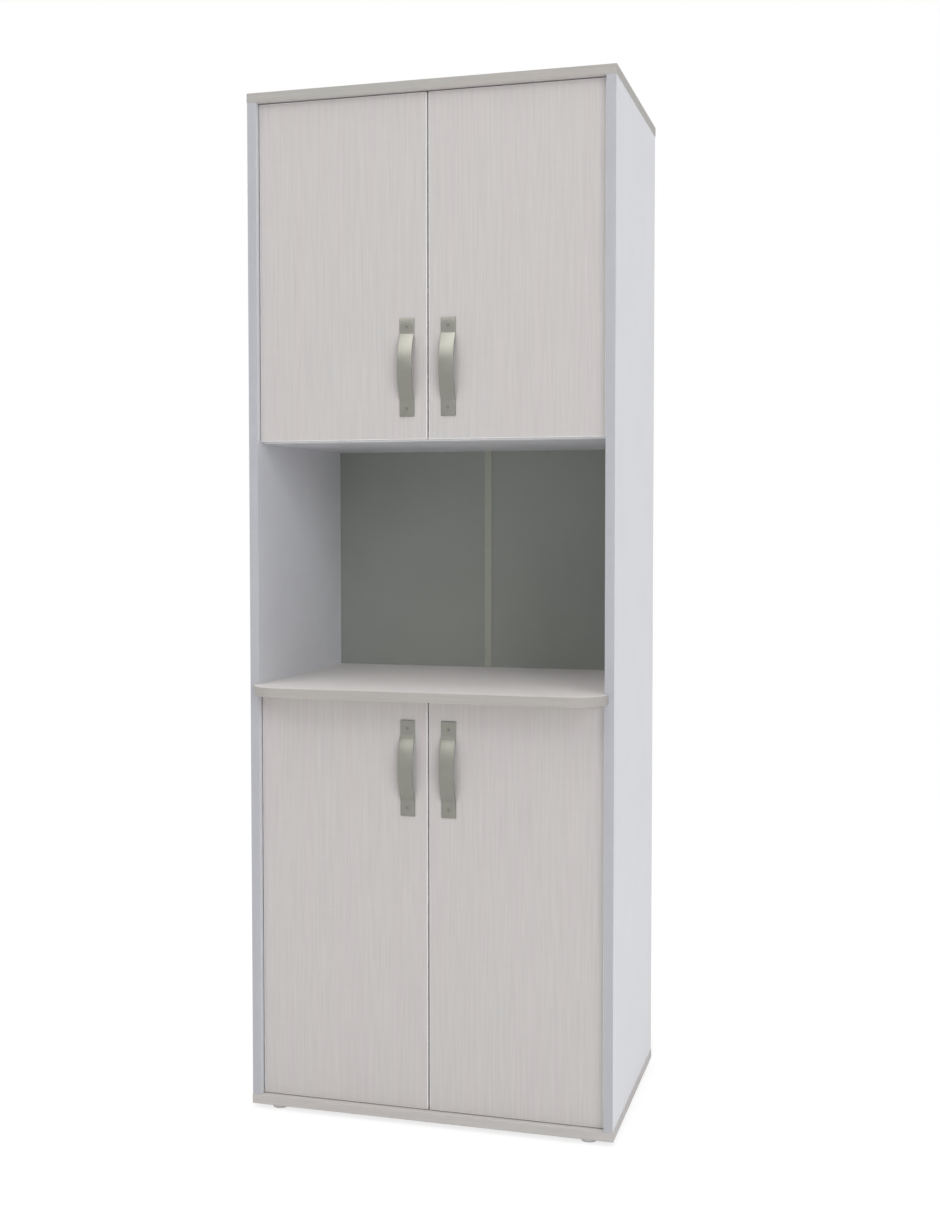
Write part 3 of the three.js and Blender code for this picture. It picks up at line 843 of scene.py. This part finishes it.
def make_back_nails():
    """Small round-headed nails through the back sheets into the rebate and the fixed panels."""
    nail_sides = 20
    nail = turned([
        (0, -14), (0.7, -12), (0.7, -0.02), (1.9, -0.02), (2.0, 0.2), (1.4, 0.5), (0, 0.6),
    ], nail_sides)
    nails_up_a_side, lowest, both_margins = 5, 130, 230
    at_the_ends, at_the_fixed_panels = (75, 215), 150
    ledge = (sheet_corner.x - inner_half) / 2 + seam
    spacing = (top_underside - both_margins) / (nails_up_a_side - 1)
    spots = [
        (side * (inner_half + ledge), lowest + step * spacing)
        for side in SIDES.values() for step in range(nails_up_a_side)
    ]
    for z in (bottom_top - ledge, top_underside + ledge):
        spots += [(side * x, z) for side in SIDES.values() for x in at_the_ends]
    for z in (shelf_middle, ceiling_middle):
        spots += [(side * at_the_fixed_panels, z) for side in SIDES.values()]
    for number, (x, z) in enumerate(spots, start=1):
        driven = aimed(nail.copy(), (x, sheet_corner.y, z), (0, 1, 0))
        piece(f"back_nail_{number:02d}", driven, dull_zinc, "root")


# ---------------- handles

def strap_stations():
    """(height, rise, tilt) of the strap's middle line from its middle to its upper end."""
    bow_half = strap_half() - handle_tab
    inner_radius = (bow_half ** 2 + handle_rise ** 2) / (2 * handle_rise)
    slope = asin(bow_half / inner_radius)
    arc = slope * (inner_radius + handle_strap / 2)
    crease = 3.5
    step = 0.25
    height, rise, run = 0.0, handle_rise + handle_strap / 2, 0.0
    stations = []
    while height < strap_half():
        if run < arc - crease / 2:
            tilt = slope * run / arc
        elif run < arc + crease / 2:
            tilt = slope * (1 - (run - arc + crease / 2) / crease)
        else:
            tilt = 0.0
        stations.append((height, rise, tilt))
        height += cos(tilt) * step
        rise -= sin(tilt) * step
        run += step
    lowest = stations[-1][1]
    stretch = handle_rise / (stations[0][1] - lowest)
    return [(h, handle_strap / 2 + (r - lowest) * stretch, t) for h, r, t in stations]


def strap_half():
    low, high = cad_box("handle_upper_left")
    return (high.z - low.z) / 2


def handle_strap_shape():
    """The bent strap: X across, Z up the door, and -Y out of the door's front, at Y 0."""
    top = strap_half()
    ends = [(top - 0.8, 0.0), (top - 0.35, 0.15), (top - 0.08, 0.45), (top, 0.85)]
    ends_start = top - 0.9
    every, every_near_crease, crease_zone = 5, 2, 45
    corner, corner_steps = 0.8, 5

    def wanted(number, height, tilt):
        """The stations that get a ring of their own: more of them near the crease."""
        fine = tilt > 0 and height > crease_zone and number % every_near_crease == 0
        return height < ends_start and (number % every == 0 or fine)

    rows = [
        (height, rise, tilt, 0.0)
        for number, (height, rise, tilt) in enumerate(strap_stations())
        if wanted(number, height, tilt)
    ]
    rows += [(height, handle_strap / 2, 0.0, inset) for height, inset in ends]
    mirrored = [(-height, rise, -tilt, inset) for height, rise, tilt, inset in rows[:0:-1]]
    bm = bmesh.new()
    rings = []
    for height, rise, tilt, inset in mirrored + rows:
        x, y = handle_width / 2 - inset, handle_strap / 2 - inset
        outline = rounded_outline((-x, -y), (x, y), min(corner, y - 0.01), corner_steps)
        rings.append([
            bm.verts.new((across, -(rise + through * cos(tilt)), height + through * sin(tilt)))
            for across, through in outline
        ])
    for lower, above in zip(rings, rings[1:]):
        count = len(lower)
        for i in range(count):
            bm.faces.new((lower[i], lower[(i + 1) % count], above[(i + 1) % count], above[i]))
    bm.faces.new(rings[0][::-1])
    bm.faces.new(rings[-1])
    bmesh.ops.recalc_face_normals(bm, faces=bm.faces)
    return bm


def handle_shape(spots):
    """The strap, countersunk at these spots, with its two screws in place."""
    outward = (0, -1, 0)
    sunk = Vector((0, 0.15, 0))
    sink = turned([
        (0, -4), (wood_screw_radius + 0.3, -4), (wood_screw_radius + 0.3, -1.7),
        (wood_screw_head + 0.25, -0.1), (wood_screw_head + 0.35, 1), (0, 1),
    ], screw_sides)
    strap = fused([handle_strap_shape()], [aimed(sink.copy(), s, outward) for s in spots])
    screws = [
        aimed(screw(wood_screw_head, wood_screw_radius, wood_screw_length, recess=1.0, dome=0.0,
                    cross_share=0.42), spot + sunk, outward)
        for spot in spots
    ]
    return together([strap, *screws])


def make_handles():
    spots = [Vector((0, -handle_strap, z)) for z in both_ways(handle_screw_spacing)]
    shape = handle_shape(spots)
    for row in ROWS:
        for side_name in SIDES:
            name = f"{row}_{side_name}"
            node = f"handle_{name}"
            middle = cad_middle(node)
            middle.y = door_front
            piece(f"{node}_strap", moved(shape.copy(), Matrix.Translation(middle)), nickel,
                  body_of(node), [node])
            for spot in spots:
                drill(f"door_{name}", middle + spot, (0, 1, 0),
                      wood_screw_radius, wood_screw_length)


# ---------------- concealed hinges
# Drawn once, with X in from the side panel, Y back from the carcass front and Z from the hinge's
# middle.

INWARD, BACKWARD = (1, 0, 0), (0, 1, 0)


def along_y(low, high, radius, x, z, sides=round_sides):
    return aimed(bar(radius, high - low, sides), (x, low, z), BACKWARD)


def cup_shape():
    cup_sides = 56
    ear_corner = 5
    inner = cup_radius - cup_wall
    can = aimed(turned([
        (0, 0), (cup_radius - 1.2, 0), (cup_radius - 0.3, 0.4), (cup_radius, 1.2),
        (cup_radius, cup_depth),
        (cup_rim_radius, cup_depth), (cup_rim_radius, cup_depth + cup_flange - 0.35),
        (cup_rim_radius - 0.35, cup_depth + cup_flange),
        (inner + 0.5, cup_depth + cup_flange), (inner, cup_depth + cup_flange - 0.5),
        (inner, cup_wall + 1.4), (inner - 0.4, cup_wall + 0.5), (inner - 1.4, cup_wall),
        (8, cup_wall), (7.4, cup_wall + 0.5), (5.6, cup_wall + 0.5), (5, cup_wall), (0, cup_wall),
    ], cup_sides), (cup_inset, door_back - cup_depth, 0), BACKWARD)
    ear_middle = cup_inset + cup_screw_offset
    reach = cup_screw_spacing / 2 + cup_ear_half
    outline = rounded_outline((ear_middle - cup_ear_half, -reach),
                              (ear_middle + cup_ear_half, reach), ear_corner)
    ear = slab([(x, -z) for x, z in outline], door_back, door_back + cup_flange)
    moved(ear, Matrix(((1, 0, 0, 0), (0, 0, 1, 0), (0, -1, 0, 0), (0, 0, 0, 1))))
    ear = softened(ear, 0.3)
    levels = both_ways(cup_screw_spacing)
    through = door_back - 1, door_back + 3
    ear = fused([ear], [
        along_y(*through, cup_radius + 0.7, cup_inset, 0, cup_sides),
        *[along_y(*through, wood_screw_head + 0.15, ear_middle, z) for z in levels],
    ])
    screws = [
        aimed(screw(wood_screw_head, wood_screw_radius, wood_screw_length, recess=1.5),
              (ear_middle, door_back + cup_flange + 0.1, z), BACKWARD)
        for z in levels
    ]
    return together([fused([can, ear]), *screws])


def flat_slab(points, half, corner=0.0):
    """An outline in X and Y, as thick as twice half, with its upright edges rounded."""
    shape = slab(points, -half, half)
    if corner:
        softened(shape, corner, 3, pick=lambda e: abs(e.verts[0].co.z - e.verts[1].co.z) > half)
    return shape


def plate_shape(front, rear, roof, legs):
    """The mounting plate: wings on the side panel, and the hollow rail that the arm sits on."""
    wing_corner = 5
    wing_reach = (plate_screw_spacing + plate_wing_width) / 2
    wing_half = plate_wing_width / 2
    outline = rounded_outline((-wing_reach, plate_screw_setback - wing_half),
                              (wing_reach, plate_screw_setback + wing_half), wing_corner)
    wings = slab(outline, 0, plate_sheet)
    moved(wings, Matrix(((0, 0, 1, 0), (0, 1, 0, 0), (-1, 0, 0, 0), (0, 0, 0, 1))))
    softened(wings, 0.35)
    rail = block((0, front + plate_rail_inset, -legs + seam),
                 (roof + 0.4, rear - plate_rail_inset, legs - seam))
    return fused([wings, rail], [
        *[aimed(bar(plate_screw_head + 0.15, 6), (-1, plate_screw_setback, z), INWARD)
          for z in both_ways(plate_screw_spacing)],
        block((plate_sheet + 2, front + 8, -legs + 2.2), (roof - 1.2, rear - 16, legs - 2.2)),
    ])


def arm_shape():
    """The arm from its channel over the crank to the knuckle, on its plate, with its screws."""
    front = plate_screw_setback - arm_length / 2
    rear = plate_screw_setback + arm_length / 2
    roof = arm_height - arm_sheet
    legs = arm_width / 2 - arm_sheet
    half = arm_width / 2
    tongue_low = knuckle_inset - arm_sheet / 2
    tongue_high = tongue_low + arm_sheet
    bend = knuckle_setback + tongue_length
    clamp = plate_screw_setback + clamp_offset
    clamp_head = 4.5
    clamp_washer = 1.25
    slot_front = clamp - 2.8
    slot_rear = clamp + 20
    slot_half = 2.7
    adjuster = plate_screw_setback - 11
    adjuster_hole = 2.9
    overlap = 0.6

    def along_the_roof(edge):
        first, last = (vertex.co for vertex in edge.verts)
        highest = all(abs(end.x - arm_height) < 0.01 for end in (first, last))
        return highest and abs(first.y - last.y) > 1

    shell = softened(block((arm_foot_gap, front, -half), (arm_height, rear, half)), 1.6, 4,
                     pick=along_the_roof)
    channel = fused([shell], [
        block((-5, front - 5, -legs), (roof, rear + 5, legs)),
        block((roof - 1, slot_front, -slot_half), (arm_height + 5, slot_rear, slot_half)),
        aimed(bar(slot_half, 8), (roof - 2, slot_front, 0), INWARD),
        aimed(bar(adjuster_hole, 8), (roof - 2, adjuster, 0), INWARD),
    ])
    crank = softened(flat_slab([
        (roof, front + overlap), (roof, front), (tongue_low, bend), (tongue_high, bend),
        (arm_height, front), (arm_height, front + overlap),
    ], arm_neck_width / 2), 0.25)
    tongue = flat_slab([
        (tongue_low, knuckle_setback), (tongue_high, knuckle_setback),
        (tongue_high, bend + overlap), (tongue_low, bend + overlap),
    ], knuckle_height / 2)
    knuckle = moved(bar(knuckle_radius, knuckle_height),
                    Matrix.Translation((knuckle_inset, knuckle_setback, -knuckle_height / 2)))
    pin_bore = moved(bar(link_pin_radius + seam, 4 * knuckle_height),
                     Matrix.Translation((knuckle_inset, knuckle_setback, -2 * knuckle_height)))
    plate = plate_shape(front, rear, roof, legs)
    body = fused([channel, crank, tongue, knuckle, plate], [pin_bore])
    plate_screws = [
        aimed(screw(plate_screw_head, plate_screw_radius, plate_screw_length, recess=2.2),
              (plate_sheet + 0.1, plate_screw_setback, z), INWARD)
        for z in both_ways(plate_screw_spacing)
    ]
    clamp_screw = aimed(screw(clamp_head, 2.2, 3, recess=1.4, dome=0.3),
                        (arm_height + clamp_washer + 0.05, clamp, 0), INWARD)
    washer = aimed(bar(clamp_head, clamp_washer), (arm_height, clamp, 0), INWARD)
    adjuster_screw = aimed(screw(2.6, 2.0, 2.2, recess=1.2, dome=0.1),
                           (arm_height - 0.5, adjuster, 0), INWARD)
    return together([body, *plate_screws, clamp_screw, washer, adjuster_screw])


def link_shape():
    """Two bent cheeks on either side of the knuckle, held by a pin at each end."""
    pin_sides = 24
    half = link_strap / 2
    turn = Matrix.Rotation(link_rest_turn, 2)
    pivot = Vector((knuckle_inset, knuckle_setback))

    def place(run, rise):
        return pivot + turn @ Vector((run, rise))

    tip = (link_run + link_dip_run, link_rise - link_dip)
    cheek = [place(*point) for point in (
        (-half, -half), (link_heel, link_rise - half), (link_run - half, link_rise - half),
        (tip[0] - half, tip[1] - half), (tip[0] + half, tip[1] - half),
        (link_run + half, link_rise + half), (link_heel, link_rise + half), (-half, half),
    )]
    inner = knuckle_height / 2 + seam
    cheeks = []
    for end in (-1, 1):
        shape = flat_slab(cheek, link_cheek / 2, corner=0.9)
        softened(shape, 0.15, 1, pick=lambda e: abs(e.verts[0].co.z - e.verts[1].co.z) < 0.01)
        cheeks.append(moved(shape, Matrix.Translation((0, 0, end * (inner + link_cheek / 2)))))
    reach = inner + link_cheek + 0.25
    pins = []
    for spot in (place(0, 0), place(*tip)):
        pin = turned([
            (0, -reach), (link_pin_radius - 0.3, -reach), (link_pin_radius, -reach + 0.25),
            (link_pin_radius, reach - 0.25), (link_pin_radius - 0.3, reach), (0, reach),
        ], pin_sides)
        pins.append(moved(pin, Matrix.Translation((*spot, 0))))
    return fused([*pins, *cheeks])


def make_hinges():
    shapes = {"cup": cup_shape(), "arm": arm_shape(), "link": link_shape()}
    ear_inset = cup_inset + cup_screw_offset
    for row in ROWS:
        for side_name, side in SIDES.items():
            for level_name in ("low", "high"):
                name = f"{row}_{side_name}_{level_name}"
                level = cad_middle(f"hinge_cup_{name}").z
                spot = Matrix((
                    (-side, 0, 0, side * inner_half), (0, 1, 0, 0), (0, 0, 1, level), (0, 0, 0, 1),
                ))
                for kind, shape in shapes.items():
                    node = f"hinge_{kind}_{name}"
                    piece(f"{node}_plated", moved(shape.copy(), spot), steel, body_of(node),
                          [node])
                door = f"door_{row}_{side_name}"
                into_door, into_side = (0, -1, 0), (side, 0, 0)
                cup_spot = spot @ Vector((cup_inset, door_back, 0))
                drill(door, cup_spot, into_door, cup_radius, cup_depth)
                for z in both_ways(cup_screw_spacing):
                    drill(door, spot @ Vector((ear_inset, door_back, z)), into_door,
                          wood_screw_radius, wood_screw_length)
                for z in both_ways(plate_screw_spacing):
                    drill(f"side_panel_{side_name}", spot @ Vector((0, plate_screw_setback, z)),
                          into_side, plate_screw_radius, plate_screw_length - plate_sheet)


# ---------------- boards

FACE, BAND, RAW = 0, 1, 2
nose_depth = 60
door_rounding = 1.4


def front_only(axis, sign):
    return axis == Y and sign < 0


def front_and_ends(axis, sign):
    return axis == X or sign < 0


def all_round(axis, sign):
    return True


def make_board(node, thickness, face_look, edge_look, banded,
               rounding=0.5, rounding_look=-1):
    """The board of a CAD node with round drillings, rounded edges, and its faces, edge bands and
    raw edges in their own looks. banded(axis, sign) says whether the edge that faces that way has
    a band. A lying board that juts out of the carcass is banded round its nose as well."""
    low, high = cad_box(node)
    nose_end = min(low.y + nose_depth, -seam / 2)
    shape = fused([from_cad(node)], drillings.get(node, ()))

    def place_of(face):
        normal, middle = face.normal, face.calc_center_median()
        axis = max((X, Y, Z), key=lambda a: abs(normal[a]))
        sign = 1 if normal[axis] > 0 else -1
        plane = (high if sign > 0 else low)[axis]
        outer = abs(middle[axis] - plane) < 0.05 and abs(normal[axis]) > 0.999
        upright = abs(normal.z) < 0.01
        nose = thickness == Z and upright and middle.y < nose_end
        if outer:
            return FACE if axis == thickness else BAND if banded(axis, sign) else RAW
        return BAND if nose else RAW

    for face in shape.faces:
        face.material_index = place_of(face)
    softened(shape, rounding, pick=lambda e: all(f.material_index != RAW for f in e.link_faces),
             look=rounding_look)
    piece(f"{node}_board", shape, [face_look, edge_look, chipboard], body_of(node), [node],
          weighted=True)


def make_boards():
    for node, band in (("top_panel", warm_band), ("bottom_panel", bottom_band_painted_light)):
        make_board(node, Z, warm_face, band, front_and_ends)
    make_board("microwave_shelf", Z, shelf_face_painted_light, warm_band, front_only)
    make_board("niche_ceiling_panel", Z, white_inside, pale_band, front_only)
    for row in ROWS:
        make_board(f"{row}_shelf", Z, white_inside, pale_band, front_only)
    for side_name in SIDES:
        make_board(f"side_panel_{side_name}", X, white, cool_band, front_only)
        for row in ROWS:
            make_board(f"door_{row}_{side_name}", Y, door_face, door_band,
                       all_round, door_rounding, BAND)


make_joints()
make_shelf_pins()
make_feet()
make_back()
make_handles()
make_hinges()
make_boards()


# ---------------- stage, light and camera
# In metres and degrees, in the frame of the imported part.

floor_size = 40
floor_white = (0.90, 0.90, 0.90, 1)
floor_dim = (0.30, 0.30, 0.30, 1)
floor_glow = 0.76
fade_start, fade_end = 1.2, 3.5
room_tint = (0.985, 0.99, 1.0, 1)
room_light = 0.30
plain_white = (1, 1, 1, 1)
soft_lights = {
    # place, size, radiance of its face, tint
    "key": ((-2.0, -5.8, 7.6), 5.4, 2.3, (1.0, 0.985, 0.965)),
    "fill": ((5.8, -6.9, 4.4), 5.0, 3.3, (0.975, 0.985, 1.0)),
    "overhead": ((0.4, 0.4, 9.5), 8.0, 2.8, (1.0, 1.0, 1.0)),
}
camera_place = (0.7013, -2.4521, 0.9655)
camera_turn = (90 - 2.326, 0.022, 15.625)
camera_lens, camera_sensor = 44.96, 36
camera_shift = (0.0045, -0.0194)


def seen_share(tree):
    """1 for the rays that show the stage itself: from the camera, a reflection or a clear piece."""
    rays = add_node(tree, "ShaderNodeLightPath").outputs
    share = rays["Is Camera Ray"]
    for kind in ("Is Glossy Ray", "Is Transmission Ray"):
        values = {0: share, 1: rays[kind]}
        share = add_node(tree, "ShaderNodeMath", values, operation="MAXIMUM").outputs[0]
    return share


def mixed(tree, share, first, second):
    """One shader that turns into another as the share goes from 0 to 1."""
    return add_node(tree, "ShaderNodeMixShader", {0: share, 1: first, 2: second}).outputs[0]


def stage_look():
    """Pale floor: lit as it is, and nearly white where the camera or a reflection meets it. It
    keeps the cabinet's shadow and becomes plain white further out."""
    material = bpy.data.materials.new("pale_floor")
    tree = empty_tree(material)
    plain = add_node(tree, "ShaderNodeBsdfDiffuse", {"Color": floor_white}).outputs[0]
    dim = add_node(tree, "ShaderNodeBsdfDiffuse", {"Color": floor_dim}).outputs[0]
    glow = add_node(tree, "ShaderNodeEmission", {"Strength": floor_glow}).outputs[0]
    near = add_node(tree, "ShaderNodeAddShader", {0: dim, 1: glow}).outputs[0]
    far = add_node(tree, "ShaderNodeEmission", {"Strength": 1.0}).outputs[0]
    place = add_node(tree, "ShaderNodeTexCoord").outputs["Object"]
    distance = add_node(tree, "ShaderNodeVectorMath", {0: place}, operation="LENGTH")
    fade = add_node(tree, "ShaderNodeMapRange", {
        "Value": distance.outputs["Value"], "From Min": fade_start, "From Max": fade_end,
    }).outputs[0]
    surface = mixed(tree, seen_share(tree), plain, mixed(tree, fade, near, far))
    add_node(tree, "ShaderNodeOutputMaterial", {"Surface": surface})
    return material


def make_stage():
    floor = bmesh.new()
    bmesh.ops.create_grid(floor, x_segments=1, y_segments=1, size=floor_size)
    obj = new_object("floor", as_mesh(floor, "floor"))
    obj.data.materials.append(stage_look())


def make_world():
    """White where it is seen or mirrored, and a soft even light elsewhere."""
    world = bpy.data.worlds.new("studio")
    tree = empty_tree(world)
    light, shown = (
        add_node(tree, "ShaderNodeBackground", {"Color": color, "Strength": strength}).outputs[0]
        for color, strength in ((room_tint, room_light), (plain_white, 1.0))
    )
    surface = mixed(tree, seen_share(tree), light, shown)
    add_node(tree, "ShaderNodeOutputWorld", {"Surface": surface})
    bpy.context.scene.world = world


def soft_light(name, place, size, radiance, tint):
    """A square soft box turned to the middle of the cabinet, given by how bright its face is."""
    data = bpy.data.lights.new(name, "AREA")
    data.shape = "SQUARE"
    data.size = size
    data.energy = radiance * pi * size ** 2
    data.color = tint
    obj = new_object(name, data)
    obj.location = place
    middle = (cad_bounds[0] + cad_bounds[1]) / 2
    obj.rotation_euler = (middle - Vector(place)).to_track_quat("-Z", "Y").to_euler()


def make_camera():
    """The photograph's viewpoint; its frame is 940 by 1215."""
    data = bpy.data.cameras.new("camera")
    data.sensor_width = camera_sensor
    data.lens = camera_lens
    data.shift_x, data.shift_y = camera_shift
    camera = new_object("camera", data)
    camera.location = camera_place
    camera.rotation_euler = [radians(angle) for angle in camera_turn]
    bpy.context.scene.camera = camera


make_stage()
make_world()
for light_name, settings in soft_lights.items():
    soft_light(light_name, *settings)
make_camera()
bpy.context.scene.view_settings.view_transform = "Standard"
